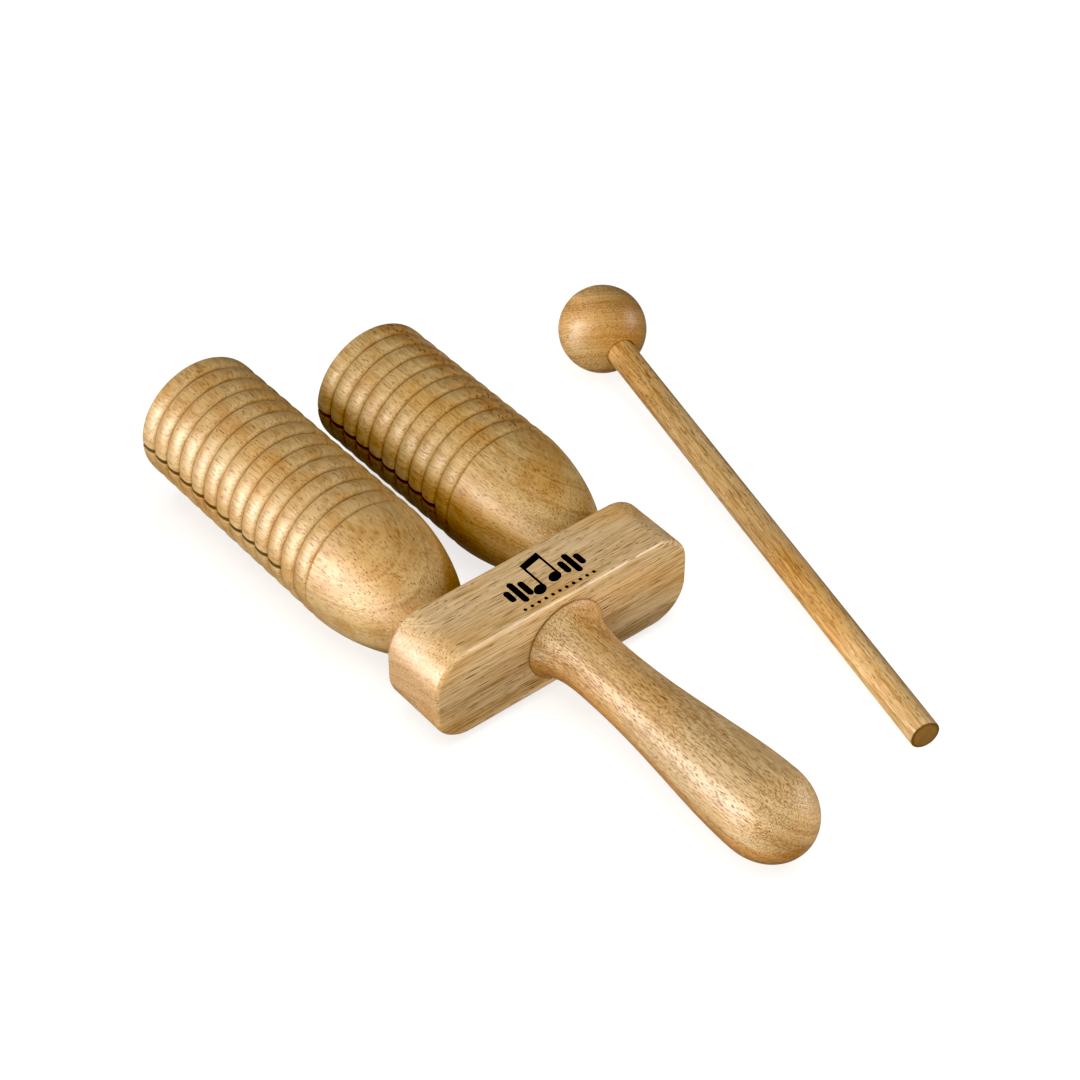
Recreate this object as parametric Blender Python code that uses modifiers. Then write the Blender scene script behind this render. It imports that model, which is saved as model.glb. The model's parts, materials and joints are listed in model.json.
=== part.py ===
"""Two-tone wooden tone block: two ribbed barrels on a crossbar, a turned handle and a loose beater.

The block is laid out in its own frame: origin at the middle of the crossbar on the barrels' axes,
X along the crossbar, Y along the barrels towards their mouths, Z up. It then rests on the floor
on the barrels' shoulders and the handle's bulb, with the beater lying beside it.
"""
import math

import bmesh
import bpy
from mathutils import Matrix, Vector

MM = 0.001
GAP = 0.3 * MM                     # clearance between glued faces
CUT_MARGIN = 4.0 * MM              # how far a cutter passes the face it cuts

# Barrels
BARREL_RADIUS = 22.0 * MM
BARREL_SPACING = 53.4 * MM         # between the two axes
RIB_PITCH = 6.88 * MM
RIB_POWER = 2.7                    # above 2, a rib's crown is flatter than a parabola
RIB_POINTS = 4                     # places across a rib
RIM_EASE = (1.6 * MM, 0.9 * MM)    # rounding of the mouth's outer rim, inwards and along
GROOVE_DEPTH = 1.1 * MM
DOME_START = 51.6 * MM             # the groove where ribs end and the dome begins
DOME_SHOULDER = 1.2 * MM           # from the last groove to the dome's full curve
DOME_LENGTH = 43.2 * MM            # the dome's full length, part of it cut off by the crossbar
DOME_POWERS = (1.72, 1.82)         # superellipse exponents along and across the axis
LARGE_RIBS = 13
SMALL_RIBS = 10
BORE_RADIUS = 13.6 * MM
BORE_PAST_SLIT = 2.0 * MM
BORE_EASE = 1.0 * MM
BORE_CONE = 1.5 * MM               # depth of the drill's point in the bore's bottom
SLIT_WIDTH = 1.4 * MM
LARGE_UNCUT_RIBS = 2               # ribs that the saw slit leaves whole beside the dome
SMALL_UNCUT_RIBS = 1
BARREL_STEPS = 36

# Crossbar
BAR_LENGTH = 95.4 * MM
BAR_THICKNESS = 24.0 * MM
BAR_HEIGHT = 33.0 * MM
BAR_CORNER = 12.5 * MM
BAR_EASE = 1.6 * MM

# Handle, measured from the middle of the crossbar
FOOT_RADIUS = 15.0 * MM
NECK_RADIUS = 9.8 * MM
NECK_AT = 28.0 * MM
BULB_RADIUS = 14.4 * MM
BULB_AT = 98.0 * MM
HANDLE_END = 115.4 * MM
SWELL_POWER = 1.2                  # above 1, the swell gathers towards the bulb
END_POWER = 2.1                    # above 2, the end is blunter than an ellipse
HANDLE_STEPS = 32

# Dowels
DOWEL_RADIUS = 4.0 * MM
DOWEL_IN_BAR = 14.0 * MM
DOWEL_IN_PIECE = 18.0 * MM
DOWEL_BEVEL = 0.8 * MM
DOWEL_STEPS = 20

# Beater
BALL_RADIUS = 15.0 * MM
SHAFT_RADIUS = 4.8 * MM
SHAFT_REACH = 210.0 * MM           # from the ball's centre to the free end
SHAFT_CHAMFER = 0.5 * MM
TENON_PAST_CENTRE = 5.0 * MM
BALL_STEPS = 32
SHAFT_STEPS = 24
BEATER_AT = (111.5 * MM, 103.6 * MM)     # ball's place beside the block
BEATER_HEADING = math.radians(13.7)      # shaft's turn away from -Y towards -X

BAR_FACE = BAR_THICKNESS / 2


def clear_scene():
    for item in list(bpy.data.objects):
        bpy.data.objects.remove(item, do_unlink=True)


def new_collection(name):
    collection = bpy.data.collections.new(name)
    bpy.context.scene.collection.children.link(collection)
    return collection


def wood(name, colour, roughness):
    material = bpy.data.materials.new(name)
    material.use_nodes = True
    shader = material.node_tree.nodes["Principled BSDF"]
    shader.inputs["Base Color"].default_value = (*colour, 1.0)
    shader.inputs["Roughness"].default_value = roughness
    shader.inputs["Metallic"].default_value = 0.0
    return material


def add_object(name, mesh, material, collection, parent):
    mesh.materials.append(material)
    mesh.shade_smooth()
    mesh.set_sharp_from_angle(angle=math.radians(30))
    item = bpy.data.objects.new(name, mesh)
    collection.objects.link(item)
    item.parent = parent
    return item


def turned(name, profile, steps, material, collection, parent):
    """A body turned about its own Z axis from (radius, height) points, axis to axis."""
    mesh = bpy.data.meshes.new(name)
    points = [(radius, 0.0, height) for radius, height in profile]
    edges = [(i, i + 1) for i in range(len(points) - 1)]
    mesh.from_pydata(points, edges, [])
    item = add_object(name, mesh, material, collection, parent)
    screw = item.modifiers.new("turn", "SCREW")
    screw.axis = "Z"
    screw.steps = steps
    screw.render_steps = steps
    screw.use_merge_vertices = True
    screw.merge_threshold = 0.00001
    screw.use_smooth_shade = True
    return item


def cut(item, cutter, name):
    boolean = item.modifiers.new(name, "BOOLEAN")
    boolean.operation = "DIFFERENCE"
    boolean.solver = "EXACT"
    boolean.object = cutter


def box_cutter(name, size, centre, collection, parent):
    mesh = bpy.data.meshes.new(name)
    shape = bmesh.new()
    bmesh.ops.create_cube(shape, size=1.0)
    bmesh.ops.transform(shape, matrix=Matrix.Diagonal((*size, 1.0)), verts=shape.verts)
    shape.to_mesh(mesh)
    shape.free()
    return hide_cutter(name, mesh, centre, collection, parent)


def round_cutter(name, radius, depth, centre, collection, parent):
    """A cylinder along Y for a dowel's hole."""
    mesh = bpy.data.meshes.new(name)
    shape = bmesh.new()
    bmesh.ops.create_cone(shape, cap_ends=True, segments=24, radius1=radius, radius2=radius,
                          depth=depth, matrix=Matrix.Rotation(math.pi / 2, 4, "X"))
    shape.to_mesh(mesh)
    shape.free()
    return hide_cutter(name, mesh, centre, collection, parent)


def hide_cutter(name, mesh, centre, collection, parent):
    item = bpy.data.objects.new(name, mesh)
    item.location = centre
    item.parent = parent
    item.hide_render = True
    item.display_type = "WIRE"
    collection.objects.link(item)
    return item


def dome_radius(height):
    """The dome's radius at a height above the middle of the crossbar."""
    along, across = DOME_POWERS
    share = (DOME_START - height) / DOME_LENGTH
    return BARREL_RADIUS * (1.0 - share ** along) ** (1.0 / across)


def rib_radius(share):
    """A rib's radius at a share of the way from groove to groove."""
    return BARREL_RADIUS - GROOVE_DEPTH * abs(2 * share - 1) ** RIB_POWER


def rib_shares():
    """Places across a rib, closer together towards its grooves."""
    return [(1 - math.cos(math.pi * i / RIB_POINTS)) / 2 for i in range(1, RIB_POINTS + 1)]


def ribbed_side(ribs):
    """The barrel's outside from the mouth down to the last groove."""
    mouth = DOME_START + ribs * RIB_PITCH
    inwards, along = RIM_EASE
    side = [(BARREL_RADIUS - inwards, mouth), (rib_radius(along / RIB_PITCH), mouth - along)]
    for rib in range(ribs):
        top = mouth - rib * RIB_PITCH
        for share in rib_shares():
            if rib == 0 and share * RIB_PITCH <= along:
                continue
            side.append((rib_radius(share), top - share * RIB_PITCH))
    return side


def dome_side(points=9):
    """The dome from just past the last groove down to the crossbar's face."""
    top = DOME_START - DOME_SHOULDER
    bottom = BAR_FACE + GAP
    heights = [top + (bottom - top) * i / points for i in range(points + 1)]
    return [(dome_radius(height), height) for height in heights]


def slit_end(uncut):
    return DOME_START + uncut * RIB_PITCH


def barrel_profile(ribs, uncut):
    mouth = DOME_START + ribs * RIB_PITCH
    bore_end = slit_end(uncut) - BORE_PAST_SLIT
    hole = DOWEL_RADIUS + GAP
    hole_end = BAR_FACE + GAP + DOWEL_IN_PIECE + GAP
    inside = [(0.0, bore_end - BORE_CONE), (BORE_RADIUS, bore_end), (BORE_RADIUS, mouth - BORE_EASE),
              (BORE_RADIUS + BORE_EASE, mouth)]
    socket = [(hole, BAR_FACE + GAP), (hole, hole_end), (0.0, hole_end)]
    return inside + ribbed_side(ribs) + dome_side() + socket


def barrel(name, side, ribs, uncut, material, parts, cutters, block):
    item = turned(name, barrel_profile(ribs, uncut), BARREL_STEPS, material, parts, block)
    item.location = (side * BARREL_SPACING / 2, 0.0, 0.0)
    item.rotation_euler = (-math.pi / 2, 0.0, 0.0)
    mouth = DOME_START + ribs * RIB_PITCH
    end = slit_end(uncut)
    length = mouth + CUT_MARGIN - end
    size = (2 * (BARREL_RADIUS + CUT_MARGIN), length, SLIT_WIDTH)
    centre = (side * BARREL_SPACING / 2, end + length / 2, 0.0)
    cut(item, box_cutter(name + "_slit", size, centre, cutters, block), "slit")
    return item


def crossbar(material, parts, cutters, block):
    mesh = bpy.data.meshes.new("crossbar")
    shape = bmesh.new()
    bmesh.ops.create_cube(shape, size=1.0)
    scale = Matrix.Diagonal((BAR_LENGTH, BAR_THICKNESS, BAR_HEIGHT, 1.0))
    bmesh.ops.transform(shape, matrix=scale, verts=shape.verts)
    along_y = [edge for edge in shape.edges if edge_along_y(edge)]
    bmesh.ops.bevel(shape, geom=along_y, offset=BAR_CORNER, offset_type="OFFSET", segments=7,
                    profile=0.5, affect="EDGES")
    rims = [edge for edge in shape.edges if not edge_along_y(edge) and edge.calc_face_angle() > 1.0]
    bmesh.ops.bevel(shape, geom=rims, offset=BAR_EASE, offset_type="OFFSET", segments=3,
                    profile=0.5, affect="EDGES")
    shape.to_mesh(mesh)
    shape.free()
    item = add_object("crossbar", mesh, material, parts, block)
    depth = DOWEL_IN_BAR + GAP
    radius = DOWEL_RADIUS + GAP
    holes = [("large_barrel_hole", -BARREL_SPACING / 2, 1), ("small_barrel_hole", BARREL_SPACING / 2, 1),
             ("handle_hole", 0.0, -1)]
    for name, x, side in holes:
        cutter = round_cutter(name, radius, 2 * depth, (x, side * BAR_FACE, 0.0), cutters, block)
        cut(item, cutter, name)
    return item


def edge_along_y(edge):
    a, b = (vert.co for vert in edge.verts)
    return abs(a.x - b.x) < 1e-7 and abs(a.z - b.z) < 1e-7


def handle_radius(height):
    """Foot cove, neck, swell and rounded end, by distance from the middle of the crossbar."""
    if height < NECK_AT:
        share = (NECK_AT - height) / (NECK_AT - BAR_FACE)
        return FOOT_RADIUS - (FOOT_RADIUS - NECK_RADIUS) * math.sqrt(max(0.0, 1.0 - share ** 2))
    if height < BULB_AT:
        share = ((height - NECK_AT) / (BULB_AT - NECK_AT)) ** SWELL_POWER
        return NECK_RADIUS + (BULB_RADIUS - NECK_RADIUS) * share * share * (3.0 - 2.0 * share)
    share = (height - BULB_AT) / (HANDLE_END - BULB_AT)
    return BULB_RADIUS * math.sqrt(max(0.0, 1.0 - share ** END_POWER))


def handle_heights():
    """Heights from the rounded end back to the foot, closer together where the outline bends."""
    end = [BULB_AT + (HANDLE_END - BULB_AT) * math.cos(math.radians(a)) for a in range(0, 91, 15)]
    swell = [BULB_AT + (NECK_AT - BULB_AT) * i / 9 for i in range(1, 10)]
    foot = BAR_FACE + GAP
    cove = [foot + (NECK_AT - foot) * (1.0 - math.sin(math.radians(a))) for a in range(18, 91, 18)]
    return end + swell + cove


def handle(material, parts, block):
    hole = DOWEL_RADIUS + GAP
    foot = BAR_FACE + GAP
    hole_end = foot + DOWEL_IN_PIECE + GAP
    profile = [(handle_radius(height), height) for height in handle_heights()]
    profile += [(hole, foot), (hole, hole_end), (0.0, hole_end)]
    item = turned("handle", profile, HANDLE_STEPS, material, parts, block)
    item.rotation_euler = (math.pi / 2, 0.0, 0.0)
    return item


def dowel(name, x, side, material, parts, block):
    """A glued pin across the joint at one face of the crossbar."""
    low = BAR_FACE - DOWEL_IN_BAR
    high = BAR_FACE + GAP + DOWEL_IN_PIECE
    end = DOWEL_RADIUS - DOWEL_BEVEL
    profile = [(0.0, high), (end, high), (DOWEL_RADIUS, high - DOWEL_BEVEL),
               (DOWEL_RADIUS, low + DOWEL_BEVEL), (end, low), (0.0, low)]
    item = turned(name, profile, DOWEL_STEPS, material, parts, block)
    item.location = (x, 0.0, 0.0)
    item.rotation_euler = (-side * math.pi / 2, 0.0, 0.0)
    return item


def beater_head(material, parts, beater):
    """A ball with a blind hole for the shaft; the hole opens along -Z."""
    hole = SHAFT_RADIUS + GAP
    mouth_angle = math.pi - math.asin(hole / BALL_RADIUS)
    count = 16
    angles = [mouth_angle * i / count for i in range(count + 1)]
    profile = [(BALL_RADIUS * math.sin(a), BALL_RADIUS * math.cos(a)) for a in angles]
    profile += [(hole, TENON_PAST_CENTRE + GAP), (0.0, TENON_PAST_CENTRE + GAP)]
    return turned("beater_head", profile, BALL_STEPS, material, parts, beater)


def beater_shaft(material, parts, beater):
    end = -SHAFT_REACH
    profile = [(0.0, TENON_PAST_CENTRE), (SHAFT_RADIUS, TENON_PAST_CENTRE),
               (SHAFT_RADIUS, end + SHAFT_CHAMFER), (SHAFT_RADIUS - SHAFT_CHAMFER, end), (0.0, end)]
    return turned("beater_shaft", profile, SHAFT_STEPS, material, parts, beater)


def block_rest():
    """The block's tilt and lift when the barrels' shoulders and the handle's bulb touch the floor."""
    barrel_side = ribbed_side(SMALL_RIBS) + dome_side()
    handle_side = [(handle_radius(height), -height) for height in handle_heights()]

    def depth(side, tilt):
        return max(radius * math.cos(tilt) - y * math.sin(tilt) for radius, y in side)

    low, high = 0.0, math.radians(10)
    for _ in range(50):
        tilt = (low + high) / 2
        if depth(handle_side, tilt) < depth(barrel_side, tilt):
            low = tilt
        else:
            high = tilt
    return tilt, depth(barrel_side, tilt)


def beater_rest():
    """The shaft's slope when the ball and the shaft's free end both touch the floor."""
    reach = SHAFT_REACH - SHAFT_CHAMFER
    slant = math.hypot(reach, SHAFT_RADIUS)
    return math.asin(BALL_RADIUS / slant) - math.atan2(SHAFT_RADIUS, reach)


def add_rest(name, matrix, collection):
    empty = bpy.data.objects.new(name, None)
    empty.matrix_world = matrix
    collection.objects.link(empty)
    return empty


def centre_footprint(parts, rests):
    """Move both rests so that the origin is under the middle of the whole object."""
    bpy.context.view_layer.update()
    depsgraph = bpy.context.evaluated_depsgraph_get()
    points = []
    for item in parts.objects:
        if item.type == "MESH":
            seen = item.evaluated_get(depsgraph)
            points += [seen.matrix_world @ vert.co for vert in seen.data.vertices]
    lowest = [min(point[i] for point in points) for i in range(3)]
    highest = [max(point[i] for point in points) for i in range(3)]
    shift = Vector(((lowest[0] + highest[0]) / 2, (lowest[1] + highest[1]) / 2, lowest[2]))
    for rest in rests:
        rest.location -= shift
    bpy.context.view_layer.update()


def main():
    clear_scene()
    parts = new_collection("two_tone_block")
    cutters = new_collection("cutters")
    tilt, lift = block_rest()
    block = add_rest("block_rest", Matrix.Translation((0.0, 0.0, lift)) @ Matrix.Rotation(tilt, 4, "X"),
                     parts)
    # The beater's own Z runs from the shaft's free end to the ball.
    heading = Matrix.Rotation(-BEATER_HEADING, 4, "Z")
    slope = Matrix.Rotation(-math.pi / 2 + beater_rest(), 4, "X")
    ball_centre = Matrix.Translation((*BEATER_AT, BALL_RADIUS))
    beater = add_rest("beater_rest", ball_centre @ heading @ slope, parts)

    barrel("large_barrel", -1, LARGE_RIBS, LARGE_UNCUT_RIBS,
           wood("large_barrel_wood", (0.56, 0.33, 0.14), 0.42), parts, cutters, block)
    barrel("small_barrel", 1, SMALL_RIBS, SMALL_UNCUT_RIBS,
           wood("small_barrel_wood", (0.50, 0.29, 0.12), 0.42), parts, cutters, block)
    crossbar(wood("crossbar_wood", (0.58, 0.38, 0.18), 0.40), parts, cutters, block)
    handle(wood("handle_wood", (0.60, 0.36, 0.15), 0.40), parts, block)
    pin_wood = wood("dowel_wood", (0.66, 0.50, 0.30), 0.60)
    dowel("large_barrel_dowel", -BARREL_SPACING / 2, 1, pin_wood, parts, block)
    dowel("small_barrel_dowel", BARREL_SPACING / 2, 1, pin_wood, parts, block)
    dowel("handle_dowel", 0.0, -1, pin_wood, parts, block)
    beater_head(wood("beater_head_wood", (0.58, 0.38, 0.18), 0.40), parts, beater)
    beater_shaft(wood("beater_shaft_wood", (0.62, 0.42, 0.20), 0.42), parts, beater)
    centre_footprint(parts, [block, beater])


main()
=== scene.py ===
"""Looks of the two-tone wooden tone block: fine turned meshes, lacquered wood, studio light and camera.

Lengths are in metres. Every turned piece is made about its own Z axis, with its grain along Z, and is
then placed by the block's or the beater's matrix. The crossbar's own Z runs along its length.
"""
import json
import math

import bmesh
import bpy
from mathutils import Matrix, Vector


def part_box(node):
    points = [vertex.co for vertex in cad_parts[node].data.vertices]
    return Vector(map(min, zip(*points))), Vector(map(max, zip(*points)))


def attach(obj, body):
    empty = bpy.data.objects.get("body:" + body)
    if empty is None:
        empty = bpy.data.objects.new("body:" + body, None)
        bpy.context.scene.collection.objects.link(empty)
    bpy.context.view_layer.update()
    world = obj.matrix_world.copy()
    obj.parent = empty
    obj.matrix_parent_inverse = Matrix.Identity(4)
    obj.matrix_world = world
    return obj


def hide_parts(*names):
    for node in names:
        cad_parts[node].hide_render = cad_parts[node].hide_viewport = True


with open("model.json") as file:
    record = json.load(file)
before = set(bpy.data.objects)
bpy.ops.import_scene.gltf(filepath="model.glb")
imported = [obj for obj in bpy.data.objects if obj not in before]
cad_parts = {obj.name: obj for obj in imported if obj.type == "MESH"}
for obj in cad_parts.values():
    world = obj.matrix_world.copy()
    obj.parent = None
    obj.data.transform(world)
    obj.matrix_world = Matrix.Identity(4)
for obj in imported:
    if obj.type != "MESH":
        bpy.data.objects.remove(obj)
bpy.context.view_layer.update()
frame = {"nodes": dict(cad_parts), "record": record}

MM = 0.001

# Driving dimensions, as in part.py, with a rounder rim and a shoulder on the dome
GAP = 0.3 * MM
BARREL_RADIUS = 22.0 * MM
BARREL_SPACING = 53.4 * MM
RIB_PITCH = 6.88 * MM
RIB_POWER = 2.7                     # 2 is a round rib, more is flatter with rounder shoulders
RIM_EASE = 1.6 * MM
RIM_INSET = 0.1 * MM                # how far the rim stays inside the barrel's full radius
GROOVE_DEPTH = 1.1 * MM
DOME_START = 51.6 * MM
DOME_LENGTH = 43.2 * MM
DOME_POWERS = (1.72, 1.82)
SHOULDER = 1.3 * MM                 # length of the dome's rounded shoulder below the last groove
SHOULDER_RISE = 0.1 * MM            # where the shoulder starts, above the groove's bottom
SHOULDER_FROM = 0.12                # share of the shoulder that the groove takes away
SHOULDER_POWER = 2.4
LARGE_RIBS = 13
SMALL_RIBS = 10
BORE_RADIUS = 13.6 * MM
BORE_PAST_SLIT = 2.0 * MM
BORE_EASE = 1.0 * MM
BORE_CONE = 1.5 * MM
SLIT_WIDTH = 1.4 * MM
LARGE_UNCUT_RIBS = 2
SMALL_UNCUT_RIBS = 1
BAR_LENGTH = 95.4 * MM
BAR_THICKNESS = 24.0 * MM
BAR_HEIGHT = 33.0 * MM
BAR_CORNER = 12.5 * MM
BAR_EASE = 1.6 * MM
BAR_FACE = BAR_THICKNESS / 2
FOOT_RADIUS = 15.0 * MM
NECK_RADIUS = 9.8 * MM
NECK_AT = 28.0 * MM
BULB_RADIUS = 14.4 * MM
BULB_AT = 98.0 * MM
HANDLE_END = 115.4 * MM
SWELL_POWER = 1.2
END_POWER = 2.1
DOWEL_RADIUS = 4.0 * MM
DOWEL_IN_PIECE = 18.0 * MM
BALL_RADIUS = 15.0 * MM
SHAFT_RADIUS = 4.8 * MM
SHAFT_REACH = 210.0 * MM
SHAFT_CHAMFER = 0.5 * MM
TENON_PAST_CENTRE = 5.0 * MM
BEATER_HEADING = math.radians(13.7)

# Fineness of the visible meshes: steps around each piece, and points along its profile
BARREL_STEPS = 144
HANDLE_STEPS = 96
BALL_STEPS = 96
SHAFT_STEPS = 48
CORNER_STEPS = 20
EASE_STEPS = 8
RIB_POINTS = 16
RIM_POINTS = 8
SHOULDER_POINTS = 6
DOME_POINTS = 40
BORE_POINTS = 24
BULB_POINTS = 30
SWELL_POINTS = 40
COVE_POINTS = 24
BALL_POINTS = 64
SHAFT_POINTS = 60
CHAMFER_POINTS = 5
OVAL_POINTS = 28
SHARP_ANGLE = math.radians(42)

# Printed motif, in millimetres on the crossbar's top
INK_SINK = 0.01
INK_THICKNESS = 0.03
NOTE_HEADS = ((-3.6, -4.6), (3.2, -3.0))
NOTE_HEAD_SHAPE = (4.7, 3.5, 24)    # width, height and tilt in degrees
STEM_AT = 1.35                      # beside the middle of its head
STEM_WIDTH = 0.75
STEM_SPAN = (0.4, 11.4)             # above the middle of its head, as the beam is
BEAM_SPAN = (9.1, 11.5)
LEVEL_BARS = ((-12.6, 5.0), (-9.6, 9.5), (-6.7, 6.5), (7.9, 5.5), (10.8, 9.0), (13.7, 5.0))
LEVEL_BAR_WIDTH = 2.1
LEVEL_BAR_MIDDLE = -1.6
DOT_COUNT = 11
DOT_SIZE = 1.15
DOT_ROW = (-12.4, 13.4)
DOT_ROW_AT = -8.6

# Camera, in the block's own frame
CAMERA_TURN = math.radians(39.42)
CAMERA_DROP = math.radians(42.41)
CAMERA_ROLL = math.radians(0.45)
CAMERA_AIM = Vector((21.2, 25.9, 0.0)) * MM
CAMERA_DISTANCE = 842.7 * MM
CAMERA_LENS = 91.83                 # in millimetres, as is the sensor
CAMERA_SENSOR = 36.0

# Stage
FLOOR_REACH = 6.0
FLOOR_DROP = 0.1 * MM
FLOOR_GREY = 0.92
FLOOR_ROUGHNESS = 0.9
WORLD_STRENGTH = 0.13
BLACK_LEVEL = 0.03                  # in linear light: what is darker is shown as black


def block_matrix():
    """The block's own frame: origin at the crossbar's middle, tilted about X as its underside is."""
    low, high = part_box("crossbar")
    mounts = {mount["name"]: mount for mount in frame["record"]["mounts"]}
    axis = mounts["crossbar_underside"]["axis"]
    tilt = math.atan2(axis[1], -axis[2])
    return Matrix.Translation((low + high) / 2) @ Matrix.Rotation(tilt, 4, "X")


def beater_matrix():
    """The beater's own frame: origin at the ball's centre, Z from the shaft's free end to the ball."""
    low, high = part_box("beater_head")
    reach = SHAFT_REACH - SHAFT_CHAMFER
    slope = math.asin(BALL_RADIUS / math.hypot(reach, SHAFT_RADIUS)) - math.atan2(SHAFT_RADIUS, reach)
    turn = Matrix.Rotation(-BEATER_HEADING, 4, "Z") @ Matrix.Rotation(slope - math.pi / 2, 4, "X")
    return Matrix.Translation((low + high) / 2) @ turn


BLOCK = block_matrix()
BEATER = beater_matrix()
BALL_GRAIN = Matrix.Rotation(math.radians(38), 3, "X")      # the ball's grain lies askew to the shaft

# Directions of the grain
ALONG_BLOCK = BLOCK.to_3x3() @ Vector((0, 1, 0))
ALONG_BAR = BLOCK.to_3x3() @ Vector((1, 0, 0))
ALONG_SHAFT = BEATER.to_3x3() @ Vector((0, 0, 1))
ALONG_BALL = BEATER.to_3x3() @ BALL_GRAIN.transposed() @ Vector((0, 0, 1))


# Meshes

def finish_piece(name, mesh, matrix, material, body, nodes, grain=Matrix.Identity(3)):
    """A visible piece from its own mesh: placed, riding on its body and standing for CAD nodes.

    The mesh keeps where each point is in the piece's own frame, turned by grain, in millimetres, as
    "own_place".
    """
    own = mesh.attributes.new("own_place", "FLOAT_VECTOR", "POINT")
    for point, vert in zip(own.data, mesh.vertices):
        point.vector = grain @ vert.co / MM
    mesh.transform(matrix)
    mesh.materials.append(material)
    mesh.shade_smooth()
    mesh.set_sharp_from_angle(angle=SHARP_ANGLE)
    piece = bpy.data.objects.new(name, mesh)
    bpy.context.scene.collection.objects.link(piece)
    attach(piece, body)
    if nodes:
        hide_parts(*nodes)
    return piece


def to_mesh(name, shape):
    mesh = bpy.data.meshes.new(name)
    shape.to_mesh(mesh)
    shape.free()
    return mesh


def turned(profile, steps):
    """A closed body turned about Z from (radius, height) points, axis to axis, outer side downwards."""
    shape = bmesh.new()
    turns = [2 * math.pi * i / steps for i in range(steps)]
    rings = []
    for radius, height in profile:
        if radius < 1e-9:
            rings.append([shape.verts.new((0.0, 0.0, height))] * steps)
        else:
            around = [(radius * math.cos(a), radius * math.sin(a), height) for a in turns]
            rings.append([shape.verts.new(point) for point in around])
    for upper, lower in zip(rings, rings[1:]):
        for i in range(steps):
            after = (i + 1) % steps
            corners = [upper[i], lower[i], lower[after], upper[after]]
            shape.faces.new(list(dict.fromkeys(corners)))
    return shape


def spread(start, end, count):
    """Evenly spaced values from start to end, both included, with count gaps between them."""
    return [start + (end - start) * i / count for i in range(count + 1)]


def arc(centre, radii, start, end, count):
    """(radius, height) points on an ellipse's arc; angles in degrees, 0 outwards and 90 upwards."""
    angles = [math.radians(angle) for angle in spread(start, end, count)]
    return [(centre[0] + radii[0] * math.cos(a), centre[1] + radii[1] * math.sin(a)) for a in angles]


def rib_radius(share):
    """A rib's radius at a share of the way from groove to groove."""
    return BARREL_RADIUS - GROOVE_DEPTH * abs(2 * share - 1) ** RIB_POWER


def rib_shares():
    """Places across a rib, closer together towards its grooves."""
    return [(1 - math.cos(math.pi * i / RIB_POINTS)) / 2 for i in range(1, RIB_POINTS + 1)]


def ribbed_side(ribs):
    """The barrel's outside from the eased rim down to the last groove."""
    mouth = DOME_START + ribs * RIB_PITCH
    centre = (BARREL_RADIUS - RIM_EASE, mouth - RIM_EASE)
    side = arc(centre, (RIM_EASE - RIM_INSET, RIM_EASE), 90, 10, RIM_POINTS)
    for rib in range(ribs):
        top = mouth - rib * RIB_PITCH
        for share in rib_shares():
            if rib == 0 and share * RIB_PITCH <= RIM_EASE:
                continue
            side.append((rib_radius(share), top - share * RIB_PITCH))
    return side


def dome_radius(height):
    along, across = DOME_POWERS
    share = max(0.0, (DOME_START - height) / DOME_LENGTH)
    return BARREL_RADIUS * (1.0 - share ** along) ** (1.0 / across)


def dome_side():
    """The dome, with a small rounded shoulder up to the last groove."""
    drop = GROOVE_DEPTH - SHOULDER_RISE
    side = []
    for share in spread(SHOULDER_FROM, 1.0, SHOULDER_POINTS):
        height = DOME_START - SHOULDER * share
        sunk = drop * (1 - math.sqrt(1 - (1 - share) ** SHOULDER_POWER))
        side.append((dome_radius(height) - sunk, height))
    heights = spread(DOME_START - SHOULDER, BAR_FACE + GAP, DOME_POINTS)[1:]
    return side + [(dome_radius(height), height) for height in heights]


def barrel_profile(ribs, uncut):
    """From the bore's end out over the mouth, down the ribs and the dome, and into the pin's hole."""
    mouth = DOME_START + ribs * RIB_PITCH
    bore_end = DOME_START + uncut * RIB_PITCH - BORE_PAST_SLIT
    bore = [(BORE_RADIUS, height) for height in spread(bore_end, mouth - BORE_EASE, BORE_POINTS)[:-1]]
    centre = (BORE_RADIUS + BORE_EASE, mouth - BORE_EASE)
    ease = arc(centre, (BORE_EASE, BORE_EASE), 180, 90, CHAMFER_POINTS)
    hole = DOWEL_RADIUS + GAP
    hole_end = BAR_FACE + GAP + DOWEL_IN_PIECE + GAP
    socket = [(hole, BAR_FACE + GAP), (hole, hole_end), (0.0, hole_end)]
    return [(0.0, bore_end - BORE_CONE)] + bore + ease + ribbed_side(ribs) + dome_side() + socket


def box(name, size, centre):
    shape = bmesh.new()
    bmesh.ops.create_cube(shape, size=1.0)
    place = Matrix.Translation(centre) @ Matrix.Diagonal((*size, 1.0))
    bmesh.ops.transform(shape, matrix=place, verts=shape.verts)
    return to_mesh(name, shape)


def with_slit(mesh, ribs, uncut):
    """The mesh after the saw: a thin box cut through both walls, from the mouth to the uncut ribs."""
    start = DOME_START + uncut * RIB_PITCH
    end = DOME_START + (ribs + 1) * RIB_PITCH
    size = (3 * BARREL_RADIUS, SLIT_WIDTH, end - start)
    return combine(mesh, box("saw", size, (0, 0, (start + end) / 2)), "DIFFERENCE")


def combine(mesh, other, operation):
    """A boolean of two meshes, also joining what overlaps within the first."""
    items = [bpy.data.objects.new(part.name, part) for part in (mesh, other)]
    for item in items:
        bpy.context.scene.collection.objects.link(item)
    boolean = items[0].modifiers.new("combine", "BOOLEAN")
    boolean.operation = operation
    boolean.solver = "EXACT"
    boolean.use_self = operation == "UNION"
    boolean.object = items[1]
    bpy.context.view_layer.update()
    seen = items[0].evaluated_get(bpy.context.evaluated_depsgraph_get())
    result = bpy.data.meshes.new_from_object(seen)
    for item in items:
        bpy.data.objects.remove(item)
    return result


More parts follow.
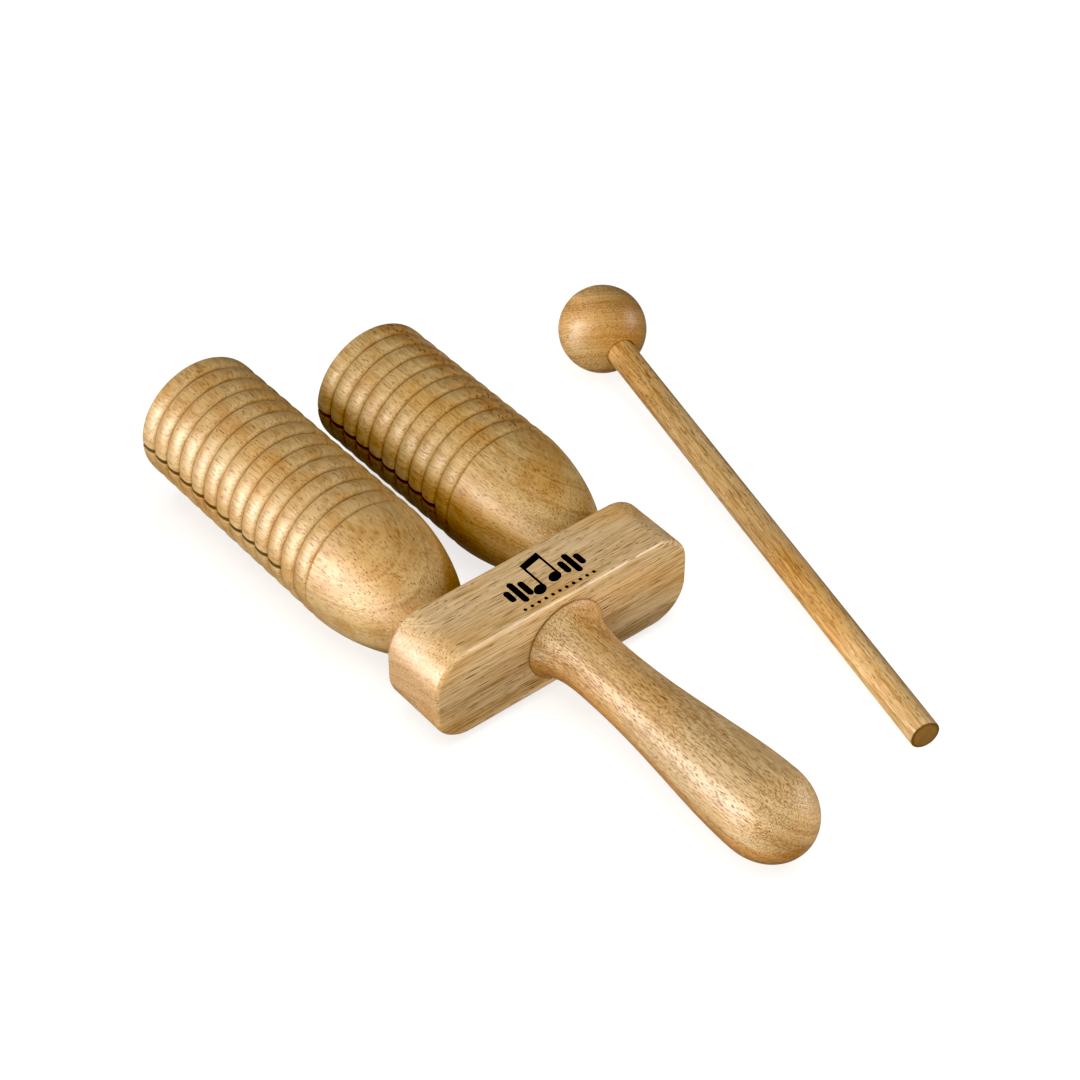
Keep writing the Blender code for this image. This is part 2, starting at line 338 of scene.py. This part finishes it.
def make_barrel(name, side, ribs, uncut, material):
    aside = Matrix.Translation((side * BARREL_SPACING / 2, 0, 0))
    place = BLOCK @ aside @ Matrix.Rotation(-math.pi / 2, 4, "X")
    mesh = to_mesh(name, turned(barrel_profile(ribs, uncut), BARREL_STEPS))
    mesh = with_slit(mesh, ribs, uncut)
    return finish_piece(name + "_turned", mesh, place, material, "block", [name])


def make_crossbar(material):
    """A bar with the corners at its ends rounded to BAR_CORNER and all rims eased; own Z along its length."""
    shape = bmesh.new()
    bmesh.ops.create_cube(shape, size=1.0)
    size = Matrix.Diagonal((BAR_HEIGHT, BAR_THICKNESS, BAR_LENGTH, 1.0))
    bmesh.ops.transform(shape, matrix=size, verts=shape.verts)
    corners = [edge for edge in shape.edges if runs_along_y(edge)]
    bmesh.ops.bevel(shape, geom=corners, offset=BAR_CORNER, offset_type="OFFSET", segments=CORNER_STEPS,
                    profile=0.5, affect="EDGES")
    rims = [edge for edge in shape.edges if not runs_along_y(edge) and edge.calc_face_angle() > 1.0]
    bmesh.ops.bevel(shape, geom=rims, offset=BAR_EASE, offset_type="OFFSET", segments=EASE_STEPS,
                    profile=0.5, affect="EDGES")
    place = BLOCK @ Matrix.Rotation(math.pi / 2, 4, "Y")
    return finish_piece("crossbar_eased", to_mesh("crossbar_eased", shape), place, material, "block",
                        ["crossbar"])


def runs_along_y(edge):
    a, b = (vert.co for vert in edge.verts)
    return abs(a.x - b.x) < 1e-7 and abs(a.z - b.z) < 1e-7


def handle_radius(height):
    """Foot cove, neck, swell and rounded end, by distance from the middle of the crossbar."""
    if height < NECK_AT:
        share = (NECK_AT - height) / (NECK_AT - BAR_FACE)
        return FOOT_RADIUS - (FOOT_RADIUS - NECK_RADIUS) * math.sqrt(max(0.0, 1.0 - share ** 2))
    if height < BULB_AT:
        share = ((height - NECK_AT) / (BULB_AT - NECK_AT)) ** SWELL_POWER
        return NECK_RADIUS + (BULB_RADIUS - NECK_RADIUS) * share * share * (3.0 - 2.0 * share)
    share = (height - BULB_AT) / (HANDLE_END - BULB_AT)
    return BULB_RADIUS * math.sqrt(max(0.0, 1.0 - share ** END_POWER))


def make_handle(material):
    """The handle's own Z runs from the crossbar's middle to its rounded end."""
    bulb = [BULB_AT + (HANDLE_END - BULB_AT) * math.cos(math.radians(a)) for a in spread(0, 90, BULB_POINTS)]
    swell = spread(BULB_AT, NECK_AT, SWELL_POINTS)[1:]
    foot = BAR_FACE + GAP
    turns = [math.radians(angle) for angle in spread(0, 86, COVE_POINTS)[1:]]
    cove = [foot + (NECK_AT - foot) * (1.0 - math.sin(a)) for a in turns]
    hole = DOWEL_RADIUS + GAP
    hole_end = foot + DOWEL_IN_PIECE + GAP
    profile = [(handle_radius(height), height) for height in bulb + swell + cove]
    profile += [(hole, foot), (hole, hole_end), (0.0, hole_end)]
    place = BLOCK @ Matrix.Rotation(math.pi / 2, 4, "X")
    mesh = to_mesh("handle_turned", turned(profile, HANDLE_STEPS))
    return finish_piece("handle_turned", mesh, place, material, "block", ["handle"])


def make_beater_head(material):
    """A ball with the hole for the shaft's tenon."""
    hole = SHAFT_RADIUS + GAP
    mouth = 180 - math.degrees(math.asin(hole / BALL_RADIUS))
    profile = arc((0.0, 0.0), (BALL_RADIUS, BALL_RADIUS), 90, 90 - mouth, BALL_POINTS)
    profile += [(hole, TENON_PAST_CENTRE + GAP), (0.0, TENON_PAST_CENTRE + GAP)]
    mesh = to_mesh("beater_head_turned", turned(profile, BALL_STEPS))
    return finish_piece("beater_head_turned", mesh, BEATER, material, "beater",
                        ["beater_head"], BALL_GRAIN)


def make_beater_shaft(material):
    """A straight dowel with a small chamfer round its free end."""
    end = -SHAFT_REACH
    side = [(SHAFT_RADIUS, height) for height in spread(TENON_PAST_CENTRE, end + SHAFT_CHAMFER, SHAFT_POINTS)]
    centre = (SHAFT_RADIUS - SHAFT_CHAMFER, end + SHAFT_CHAMFER)
    rim = arc(centre, (SHAFT_CHAMFER, SHAFT_CHAMFER), 0, -90, CHAMFER_POINTS)[1:]
    profile = [(0.0, TENON_PAST_CENTRE)] + side + rim + [(0.0, end)]
    mesh = to_mesh("beater_shaft_turned", turned(profile, SHAFT_STEPS))
    return finish_piece("beater_shaft_turned", mesh, BEATER, material, "beater",
                        ["beater_shaft"])


# The printed motif on the crossbar's top: a pair of beamed notes between level bars, with a row of dots

def prism(shape, outline):
    """A thin closed plate over an outline of (x, y) points in millimetres on the crossbar's top."""
    bottom = BAR_HEIGHT / 2 - INK_SINK * MM
    verts = [shape.verts.new((x * MM, y * MM, bottom)) for x, y in outline]
    face = shape.faces.new(verts)
    face.normal_update()
    if face.normal.z > 0:
        face.normal_flip()
    top = bmesh.ops.extrude_face_region(shape, geom=[face])
    raised = [item for item in top["geom"] if isinstance(item, bmesh.types.BMVert)]
    bmesh.ops.translate(shape, verts=raised, vec=(0, 0, (INK_SINK + INK_THICKNESS) * MM))


def oval(x, y, across, high, tilt=0.0):
    turn = Matrix.Rotation(math.radians(tilt), 2)
    angles = [2 * math.pi * i / OVAL_POINTS for i in range(OVAL_POINTS)]
    ring = [turn @ Vector((across / 2 * math.cos(a), high / 2 * math.sin(a))) for a in angles]
    return [(x + point.x, y + point.y) for point in ring]


def bar_shape(x, middle, width, high):
    """An upright bar with round ends."""
    half = width / 2
    top = middle + high / 2 - half
    bottom = middle - high / 2 + half
    turns = [math.radians(angle) for angle in range(0, 181, 20)]
    upper = [(x + half * math.cos(a), top + half * math.sin(a)) for a in turns]
    lower = [(x - half * math.cos(a), bottom - half * math.sin(a)) for a in turns]
    return upper + lower


def make_emblem(material):
    notes = bmesh.new()
    stem_low, stem_high = STEM_SPAN
    for x, y in NOTE_HEADS:
        left = x + STEM_AT
        right = left + STEM_WIDTH
        prism(notes, oval(x, y, *NOTE_HEAD_SHAPE))
        stem = [(left, stem_low), (right, stem_low), (right, stem_high), (left, stem_high)]
        prism(notes, [(across, y + above) for across, above in stem])
    (first, low), (last, high) = NOTE_HEADS
    left = first + STEM_AT
    right = last + STEM_AT + STEM_WIDTH
    under, over = BEAM_SPAN
    prism(notes, [(left, low + over), (left, low + under), (right, high + under), (right, high + over)])
    rest = bmesh.new()
    for x, high in LEVEL_BARS:
        prism(rest, bar_shape(x, LEVEL_BAR_MIDDLE, LEVEL_BAR_WIDTH, high))
    for x in spread(*DOT_ROW, DOT_COUNT - 1):
        prism(rest, oval(x, DOT_ROW_AT, DOT_SIZE, DOT_SIZE))
    mesh = combine(to_mesh("notes", notes), to_mesh("bars", rest), "UNION")
    to_bar = Matrix.Rotation(math.pi / 2, 4, "Y")
    mesh.transform(to_bar.inverted())
    return finish_piece("crossbar_print", mesh, BLOCK @ to_bar, material, "block", [])


# Materials

class Graph:
    """A short way to write a material's nodes."""

    def __init__(self, name):
        self.material = bpy.data.materials.new(name)
        self.material.use_nodes = True
        self.tree = self.material.node_tree
        self.shader = self.tree.nodes["Principled BSDF"]

    def put(self, socket, value):
        if isinstance(value, bpy.types.NodeSocket):
            self.tree.links.new(value, socket)
        else:
            socket.default_value = value

    def node(self, kind, inputs=None, **settings):
        node = self.tree.nodes.new("ShaderNode" + kind)
        for key, value in settings.items():
            setattr(node, key, value)
        for socket, value in (inputs or {}).items():
            self.put(node.inputs[socket], value)
        return node

    def math(self, operation, *values):
        node = self.node("Math", dict(enumerate(values)), operation=operation)
        return node.outputs[0]

    def length(self, x, y):
        """The length of a flat vector."""
        return self.math("SQRT", self.math("ADD", self.math("MULTIPLY", x, x), self.math("MULTIPLY", y, y)))

    def vector(self, operation, first, second):
        return self.node("VectorMath", {0: first, 1: second}, operation=operation).outputs[0]

    def ramp(self, value, start, end, low=0.0, high=1.0):
        """Smoothly from low at start to high at end, clamped."""
        if start > end:
            start, end, low, high = end, start, high, low
        inputs = {0: value, 1: start, 2: end, 3: low, 4: high}
        return self.node("MapRange", inputs, interpolation_type="SMOOTHSTEP").outputs[0]

    def mix(self, share, first, second, blend="MIX"):
        node = self.node("Mix", {0: share, 6: first, 7: second}, data_type="RGBA", blend_type=blend)
        return node.outputs[2]

    def noise(self, vector, detail, rough=0.5):
        inputs = {"Vector": vector, "Scale": 1.0, "Detail": detail, "Roughness": rough}
        return self.node("TexNoise", inputs).outputs["Fac"]

    def noise_line(self, value, scale, detail):
        inputs = {"W": value, "Scale": scale, "Detail": detail}
        return self.node("TexNoise", inputs, noise_dimensions="1D").outputs["Fac"]


def colour(red, green, blue):
    """A colour given as it looks on screen, from 0 to 255, as linear light."""
    parts = [part / 255 for part in (red, green, blue)]
    return (*[p / 12.92 if p <= 0.04045 else ((p + 0.055) / 1.055) ** 2.4 for p in parts], 1.0)


def tones(red, green, blue, contrast=1.0):
    """Dark, middle and pale tones around a piece's own colour."""
    middle = (red, green, blue)
    dark = [value * (1 - contrast * drop) for value, drop in zip(middle, (0.14, 0.19, 0.28))]
    pale = [value * (1 + contrast * gain) for value, gain in zip(middle, (0.07, 0.10, 0.16))]
    return colour(*dark), colour(*middle), colour(*pale)


# All wood
PATCH_TINT = colour(253, 238, 210)
END_GRAIN_TINT = colour(240, 216, 184)
RING_BROWN = colour(140, 94, 44)
PORE_BROWN = colour(122, 66, 26)
DOT_DEPTH = 0.85
DASH_DEPTH = 0.85
STREAK_DEPTH = 0.9
FIBRE_SCALE = (2.2, 0.11)           # across and along the grain, per millimetre
WANDER = 3.0                        # how far the growth layers stray, in millimetres
SPECULAR = 0.7
COAT = 0.35
COAT_ROUGHNESS = 0.34
BUMP_STRENGTH = 0.5
BUMP_HEIGHT = 0.2 * MM

# Print
INK_BLACK = colour(16, 14, 13)
INK_WORN = colour(44, 36, 28)
INK_PORE = colour(92, 62, 34)

# Marks of single pieces; places are in millimetres
# painted shade in the barrels' grooves
GROOVE_SHADE_BROWN = colour(132, 86, 38)
BLOTCH_TINT = colour(234, 208, 168)
SLIT_BROWN = colour(118, 94, 68)
BORE_BROWN = colour(138, 110, 80)
BARREL_GLUE = colour(110, 68, 30)
STREAK_AT = 9.0                     # the small barrel's reddish streak, beside its top
STREAK_TINT = colour(238, 196, 150)
STREAK_BROWN = colour(98, 52, 24)
SAWN_TINT = colour(210, 196, 200)
NECK_TINT = colour(250, 222, 184)
LOW_SIDE = (-0.82, -0.57)           # the handle's low side, given painted warm shade, as a direction across its axis
LOW_SIDE_SHADE_TINT = colour(253, 212, 150)
HANDLE_GLUE = colour(120, 74, 32)
# the shaft's sawn end: its end grain darkened further with painted shade
SHAFT_END_GRAIN_AND_SHADE = colour(150, 108, 58)
SHAFT_RIM_BROWN = colour(92, 58, 26)


class Wood(Graph):
    """Lacquered rubberwood with its grain along the piece's own Z; coordinates in millimetres.

    A turned piece or the crossbar reads its own place from its mesh. A pin keeps its CAD mesh, whose
    object coordinates run along the block, so there Y is the grain.
    """

    def __init__(self, name, seed, grain, own_place=True):
        super().__init__(name)
        coordinates = self.node("TexCoord").outputs
        if own_place:
            self.place = self.node("Attribute", attribute_name="own_place").outputs["Vector"]
        else:
            x, y, z = self.node("SeparateXYZ", {0: coordinates["Object"]}).outputs
            own = self.node("CombineXYZ", {0: x, 1: z, 2: y}).outputs[0]
            self.place = self.vector("DIVIDE", own, (MM, MM, MM))
        self.shift = Vector((31.7, 57.3, 83.9)) * seed
        self.x, self.y, self.z = self.node("SeparateXYZ", {0: self.place}).outputs
        self.radius = self.length(self.x, self.y)
        dot = self.node("VectorMath", {0: coordinates["Normal"], 1: tuple(grain)}, operation="DOT_PRODUCT")
        self.end_grain = self.ramp(self.math("ABSOLUTE", dot.outputs["Value"]), 0.55, 0.98)

    def scaled(self, across, along):
        """The place with each piece's own shift, scaled across and along the grain, per millimetre."""
        moved = self.vector("ADD", self.place, tuple(self.shift))
        return self.vector("MULTIPLY", moved, (across, across, along))

    def layer(self, pith):
        """How many millimetres out from an off-piece pith, with a slow wander along the grain."""
        wander = self.math("MULTIPLY", self.noise(self.scaled(0.04, 0.012), 2.0), WANDER)
        dx = self.math("SUBTRACT", self.x, pith[0])
        dy = self.math("SUBTRACT", self.y, pith[1])
        return self.math("ADD", self.length(dx, dy), wander)

    def figure(self, layer):
        """Growth layers with fine fibres: 0 dark to 1 pale."""
        broad = self.noise_line(layer, 0.22, 1.0)
        fine = self.noise_line(layer, 1.5, 2.0)
        layers = self.math("ADD", self.math("MULTIPLY", broad, 0.20), self.math("MULTIPLY", fine, 0.18))
        return self.math("ADD", layers, self.math("MULTIPLY", self.fibre(), 0.62))

    def fibre(self):
        return self.noise(self.scaled(*FIBRE_SCALE), 3.0, 0.65)

    def ring_lines(self, layer):
        """Thin dark latewood lines, unevenly spaced, some fainter than others."""
        wave = self.noise_line(layer, 0.28, 0.0)
        line = self.ramp(self.math("ABSOLUTE", self.math("SUBTRACT", wave, 0.5)), 0.035, 0.0)
        return self.math("MULTIPLY", line, self.ramp(self.noise(self.scaled(0.05, 0.03), 1.0), 0.35, 0.65))

    def pores(self, across, along, size, presence, cluster):
        """Vessels as marks of one length along the grain, gathered in clusters.

        Space is split into cells, across by along in millimetres. Presence is the share of cells with a
        mark inside the clusters, cluster is how much of that is lost between them, and size is how far a
        mark reaches from the middle of its cell, as a share of the cell.
        """
        cells = self.node("TexVoronoi", {"Vector": self.scaled(1 / across, 1 / along), "Scale": 1.0})
        chance = self.node("SeparateColor", {0: cells.outputs["Color"]}).outputs[0]
        cloud = self.noise(self.scaled(0.10, 0.022), 1.0)
        limit = self.ramp(cloud, 0.35, 0.65, presence * (1 - cluster), presence)
        there = self.math("LESS_THAN", chance, limit)
        mark = self.ramp(cells.outputs["Distance"], size, size * 0.4)
        return self.math("MULTIPLY", mark, there)

    def vessels(self, dots, dashes, streaks):
        """Fine dots, dashes and long streaks, each with its own share of the places it can be in."""
        dot = self.math("MULTIPLY", self.pores(0.34, 2.2, 0.44, dots, 0.35), DOT_DEPTH)
        dash = self.math("MULTIPLY", self.pores(0.80, 5.5, 0.22, dashes, 0.75), DASH_DEPTH)
        streak = self.math("MULTIPLY", self.pores(1.0, 15.0, 0.23, streaks, 0.6), STREAK_DEPTH)
        return self.math("MAXIMUM", dot, self.math("MAXIMUM", dash, streak))


def lacquered_wood(name, seed, grain, shades, pith, vessels, rings, marks=None, own_place=True):
    """The shared wood.

    Seed shifts the patterns, and grain is the grain's direction in the scene. Shades are the dark, middle
    and pale colours, pith is the growth layers' middle across the grain, vessels are the shares of dots,
    dashes and streaks, rings is the strength of the dark growth lines, and marks adds a piece's own colours.
    """
    wood = Wood(name, seed, grain, own_place)
    dark, middle, pale = shades
    layer = wood.layer(pith)
    figure = wood.figure(layer)
    base = wood.mix(wood.ramp(figure, 0.40, 0.50), dark, middle)
    base = wood.mix(wood.ramp(figure, 0.50, 0.60), base, pale)
    patch = wood.noise(wood.scaled(0.050, 0.022), 1.0)
    base = wood.mix(wood.ramp(patch, 0.45, 0.70), base, PATCH_TINT, "MULTIPLY")
    base = wood.mix(wood.math("MULTIPLY", wood.end_grain, 0.4), base, END_GRAIN_TINT, "MULTIPLY")
    base = wood.mix(wood.math("MULTIPLY", wood.ring_lines(layer), rings), base, RING_BROWN)
    fewer = wood.math("SUBTRACT", 1.0, wood.math("MULTIPLY", wood.end_grain, 0.5))
    pore = wood.math("MULTIPLY", wood.vessels(*vessels), fewer)
    base = wood.mix(pore, base, PORE_BROWN)
    if marks:
        base = marks(wood, base)
    wood.put(wood.shader.inputs["Base Color"], base)
    gloss = wood.noise(wood.scaled(0.25, 0.12), 2.0)
    rough = wood.ramp(gloss, 0.3, 0.7, 0.38, 0.50)
    wood.put(wood.shader.inputs["Roughness"], wood.math("ADD", rough, wood.math("MULTIPLY", pore, 0.2)))
    wood.shader.inputs["Specular IOR Level"].default_value = SPECULAR
    wood.shader.inputs["Coat Weight"].default_value = COAT
    wood.shader.inputs["Coat Roughness"].default_value = COAT_ROUGHNESS
    height = wood.math("SUBTRACT", wood.math("MULTIPLY", figure, 0.35), pore)
    bump = wood.node("Bump", {"Height": height, "Strength": BUMP_STRENGTH, "Distance": BUMP_HEIGHT})
    wood.put(wood.shader.inputs["Normal"], bump.outputs[0])
    return wood.material


def ink(seed, grain):
    """Black print; given the crossbar's seed, the same fibres and pores show through it a little."""
    wood = Wood("print_ink", seed, grain)
    pore = wood.vessels(0.35, 0.3, 0.4)
    fibre = wood.fibre()
    base = wood.mix(wood.ramp(fibre, 0.52, 0.72, 0.0, 0.5), INK_BLACK, INK_WORN)
    base = wood.mix(wood.math("MULTIPLY", pore, 0.5), base, INK_PORE)
    wood.put(wood.shader.inputs["Base Color"], base)
    wood.put(wood.shader.inputs["Roughness"], wood.ramp(fibre, 0.4, 0.7, 0.42, 0.6))
    return wood.material


def barrel_marks(wood, base, ribs, uncut):
    """Painted shade in the grooves, stained blotches, the sawn slit, the raw bore and the glue line at the
    crossbar.
    """
    start = DOME_START / MM
    pitch = RIB_PITCH / MM
    mouth = start + ribs * pitch
    share = wood.math("FRACT", wood.math("DIVIDE", wood.math("SUBTRACT", wood.z, start), pitch))
    away = wood.math("MULTIPLY", wood.math("MINIMUM", share, wood.math("SUBTRACT", 1.0, share)), pitch)
    # painted shade in each groove: a wide faint band and a thin dark line
    shade = wood.ramp(away, 0.9, 0.2, 0.0, 0.25)
    line = wood.ramp(away, 0.28, 0.05, 0.0, 0.35)
    ribbed = wood.math("MULTIPLY", wood.ramp(wood.z, start - 0.8, start - 0.3),
                       wood.ramp(wood.z, mouth - 1.5, mouth - 2.5))
    outside = wood.ramp(wood.radius, 17.0, 19.0)
    groove = wood.math("MULTIPLY", wood.math("ADD", shade, line), wood.math("MULTIPLY", ribbed, outside))
    base = wood.mix(groove, base, GROOVE_SHADE_BROWN)
    cloud = wood.noise(wood.scaled(0.14, 0.10), 2.0)
    base = wood.mix(wood.ramp(cloud, 0.45, 0.65, 0.0, 0.5), base, BLOTCH_TINT, "MULTIPLY")
    slit_end = start + uncut * pitch
    slit_side = SLIT_WIDTH / 2 / MM
    slit = wood.math("MULTIPLY", wood.ramp(wood.math("ABSOLUTE", wood.y), slit_side + 0.10, slit_side - 0.01),
                     wood.math("GREATER_THAN", wood.z, slit_end - 0.2))
    base = wood.mix(wood.math("MULTIPLY", slit, 0.8), base, SLIT_BROWN)
    bore_side = BORE_RADIUS / MM
    bore_end = slit_end - (BORE_PAST_SLIT + BORE_CONE) / MM
    bore = wood.math("MULTIPLY", wood.ramp(wood.radius, bore_side + 0.6, bore_side + 0.1),
                     wood.ramp(wood.z, bore_end - 1.5, bore_end - 0.5))
    base = wood.mix(wood.math("MULTIPLY", bore, 0.8), base, BORE_BROWN)
    foot = (BAR_FACE + GAP) / MM
    joint = wood.ramp(wood.z, foot + 0.5, foot + 0.05)
    return wood.mix(wood.math("MULTIPLY", joint, 0.6), base, BARREL_GLUE)


def large_barrel_marks(wood, base):
    return barrel_marks(wood, base, LARGE_RIBS, LARGE_UNCUT_RIBS)


def small_barrel_marks(wood, base):
    """A reddish streak full of open vessels beside the top, under the marks of both barrels."""
    from_streak = wood.math("ABSOLUTE", wood.math("SUBTRACT", wood.x, STREAK_AT))
    streak = wood.math("MULTIPLY", wood.ramp(from_streak, 7.0, 2.0), wood.ramp(wood.y, 0.0, -8.0))
    streak = wood.math("MULTIPLY", streak, wood.ramp(wood.z, 38.0, 56.0))
    base = wood.mix(wood.math("MULTIPLY", streak, 0.4), base, STREAK_TINT, "MULTIPLY")
    vessels = wood.pores(0.7, 2.0, 0.58, 0.5, 0.5)
    base = wood.mix(wood.math("MULTIPLY", vessels, streak), base, STREAK_BROWN)
    return barrel_marks(wood, base, SMALL_RIBS, SMALL_UNCUT_RIBS)


def crossbar_marks(wood, base):
    """Duller sawn ends."""
    return wood.mix(wood.math("MULTIPLY", wood.end_grain, 0.4), base, SAWN_TINT, "MULTIPLY")


def handle_marks(wood, base):
    """Orange wood on one side of the neck, painted warm shade low along the other side, and the glue line."""
    neck = wood.math("MULTIPLY", wood.ramp(wood.z, 48.0, 22.0, 0.0, 0.6), wood.ramp(wood.x, -3.0, 4.0))
    base = wood.mix(neck, base, NECK_TINT, "MULTIPLY")
    # painted warm shade along the handle's lower side
    across, up = LOW_SIDE
    low = wood.math("ADD", wood.math("MULTIPLY", wood.x, across), wood.math("MULTIPLY", wood.y, up))
    rim = wood.ramp(wood.math("DIVIDE", low, wood.radius), 0.76, 0.90, 0.0, 0.7)
    base = wood.mix(rim, base, LOW_SIDE_SHADE_TINT, "MULTIPLY")
    foot = (BAR_FACE + GAP) / MM
    joint = wood.ramp(wood.z, foot + 0.4, foot + 0.05)
    return wood.mix(wood.math("MULTIPLY", joint, 0.6), base, HANDLE_GLUE)


def shaft_marks(wood, base):
    """The sawn free end: dark for its end grain and with painted shade, and darker towards its rim."""
    reach = SHAFT_REACH / MM
    side = SHAFT_RADIUS / MM
    end = wood.ramp(wood.z, 0.5 - reach, 0.1 - reach)
    # painted shade with the end grain's tone over the sawn end, darker towards the rim
    end_tone_and_shade = wood.mix(wood.ramp(wood.radius, side - 1.4, side - 0.3), SHAFT_END_GRAIN_AND_SHADE, SHAFT_RIM_BROWN)
    return wood.mix(wood.math("MULTIPLY", end, 0.85), base, end_tone_and_shade)


# Stage

def make_floor():
    """A pale floor just under the object, that neither reflects in it nor lights it."""
    shape = bmesh.new()
    bmesh.ops.create_grid(shape, x_segments=1, y_segments=1, size=FLOOR_REACH)
    mesh = to_mesh("floor", shape)
    paint = Graph("floor_paint")
    paint.shader.inputs["Base Color"].default_value = (FLOOR_GREY, FLOOR_GREY, FLOOR_GREY, 1.0)
    paint.shader.inputs["Roughness"].default_value = FLOOR_ROUGHNESS
    mesh.materials.append(paint.material)
    floor = bpy.data.objects.new("floor", mesh)
    floor.location.z = -FLOOR_DROP
    floor.visible_diffuse = False
    floor.visible_glossy = False
    bpy.context.scene.collection.objects.link(floor)
    return floor


def make_world(strength):
    world = bpy.data.worlds.new("studio")
    world.use_nodes = True
    background = world.node_tree.nodes["Background"]
    background.inputs["Color"].default_value = (1.0, 1.0, 1.0, 1.0)
    background.inputs["Strength"].default_value = strength
    bpy.context.scene.world = world


def soft_light(name, turn, rise, distance, size, power, only=(), spare=(), shadows=True):
    """A round area light aimed at the origin.

    Turn is in degrees from -Y towards -X, and rise in degrees above the floor. Only lists the pieces that it
    lights, where it lights just those, and spare lists those that it doesn't light. Without shadows, nothing
    but the listed pieces stands in its way.
    """
    turn, rise = math.radians(turn), math.radians(rise)
    away = Vector((-math.sin(turn) * math.cos(rise), -math.cos(turn) * math.cos(rise), math.sin(rise)))
    data = bpy.data.lights.new(name, "AREA")
    data.shape = "DISK"
    data.size = size
    data.energy = power
    light = bpy.data.objects.new(name, data)
    light.location = away * distance
    light.rotation_euler = away.to_track_quat("Z", "Y").to_euler()
    bpy.context.scene.collection.objects.link(light)
    linked = bpy.data.collections.new(name + "_linked")
    for item in [*only, *spare]:
        linked.objects.link(item)
    for link in linked.collection_objects if spare else ():
        link.light_linking.link_state = "EXCLUDE"
    light.light_linking.receiver_collection = linked
    if not shadows:
        light.light_linking.blocker_collection = linked
    return light


def make_object_lights(floor, crossbar, handle, beater_pieces):
    """Lights for the object: name, turn, rise, distance, size and power, and what each one reaches."""
    soft_light("key", 82, 33, 1.6, 1.2, 16.5, spare=[floor]).visible_glossy = False
    soft_light("side", 112, 12, 1.6, 0.9, 11.5, spare=[floor])
    soft_light("front", 22, 12, 1.6, 0.7, 9.5, spare=[floor]).visible_glossy = False
    soft_light("low", -60, 12, 1.6, 0.7, 13.5, spare=[floor, *beater_pieces]).visible_glossy = False
    soft_light("edge", -44, 42, 1.6, 0.5, 14.0, only=[crossbar]).visible_diffuse = False
    soft_light("gloss", 105, 8, 1.6, 1.6, 34.0, spare=[floor]).visible_diffuse = False
    soft_light("back", 185, 12, 1.6, 0.8, 5.0, spare=[floor]).visible_glossy = False
    soft_light("beater", 112, -10, 1.6, 1.4, 10.0, only=beater_pieces, shadows=False)
    soft_light("right_fill", -60, 20, 1.6, 0.9, 8.0, only=[handle, *beater_pieces], shadows=False)


def make_floor_lights(floor):
    """An even white wash without shadows, and a weak light that leaves a faint contact shadow."""
    soft_light("wash", 0, 88, 2.0, 2.4, 48.0, only=[floor], shadows=False)
    soft_light("contact", 0, 80, 2.0, 2.4, 9.0, only=[floor])


def set_view():
    view = bpy.context.scene.view_settings
    view.view_transform = "Standard"
    view.use_curve_mapping = True
    view.curve_mapping.black_level = (BLACK_LEVEL, BLACK_LEVEL, BLACK_LEVEL)


def make_camera():
    data = bpy.data.cameras.new("camera")
    data.lens = CAMERA_LENS
    data.sensor_width = CAMERA_SENSOR
    data.clip_start = 0.01
    camera = bpy.data.objects.new("camera", data)
    turn = (Matrix.Rotation(-CAMERA_TURN, 4, "Z") @ Matrix.Rotation(math.pi / 2 - CAMERA_DROP, 4, "X")
            @ Matrix.Rotation(CAMERA_ROLL, 4, "Z"))
    back = turn @ Vector((0.0, 0.0, 1.0))
    camera.matrix_world = BLOCK @ Matrix.Translation(CAMERA_AIM + back * CAMERA_DISTANCE) @ turn
    bpy.context.scene.collection.objects.link(camera)
    bpy.context.scene.camera = camera


# Name, seed, grain, tones, pith, shares of dots, dashes and streaks, growth lines, own marks
large_wood = lacquered_wood("large_barrel_wood", 1.0, ALONG_BLOCK, tones(207, 171, 116, 0.9), (24, 62),
                            (0.30, 0.55, 0.3), 0.10, large_barrel_marks)
small_wood = lacquered_wood("small_barrel_wood", 2.0, ALONG_BLOCK, tones(205, 171, 115, 0.9), (-40, 55),
                            (0.30, 0.8, 0.3), 0.10, small_barrel_marks)
bar_wood = lacquered_wood("crossbar_wood", 3.0, ALONG_BAR, tones(227, 191, 140, 1.1), (75, -22),
                          (0.05, 0.5, 1.5), 0.35, crossbar_marks)
handle_wood = lacquered_wood("handle_wood", 4.0, ALONG_BLOCK, tones(206, 172, 122, 1.1), (60, 100),
                             (1.2, 0.6, 0.4), 0.25, handle_marks)
ball_wood = lacquered_wood("beater_head_wood", 5.0, ALONG_BALL, tones(203, 161, 102, 1.2), (-25, 90),
                           (0.3, 0.5, 0.3), 1.0)
shaft_wood = lacquered_wood("beater_shaft_wood", 6.0, ALONG_SHAFT, tones(228, 187, 127, 1.2), (24, 20),
                            (0.35, 0.8, 1.4), 0.3, shaft_marks)
pin_wood = lacquered_wood("dowel_wood", 7.0, ALONG_BLOCK, tones(210, 180, 135), (20, 5),
                          (0.2, 0.2, 0.2), 0.2, own_place=False)

make_barrel("large_barrel", -1, LARGE_RIBS, LARGE_UNCUT_RIBS, large_wood)
make_barrel("small_barrel", 1, SMALL_RIBS, SMALL_UNCUT_RIBS, small_wood)
crossbar = make_crossbar(bar_wood)
make_emblem(ink(3.0, ALONG_BAR))
handle = make_handle(handle_wood)
beater_pieces = [make_beater_head(ball_wood), make_beater_shaft(shaft_wood)]
for name in ("large_barrel_dowel", "small_barrel_dowel", "handle_dowel"):
    frame["nodes"][name].material_slots[0].material = pin_wood

floor = make_floor()
make_world(WORLD_STRENGTH)
make_object_lights(floor, crossbar, handle, beater_pieces)
make_floor_lights(floor)
set_view()
make_camera()
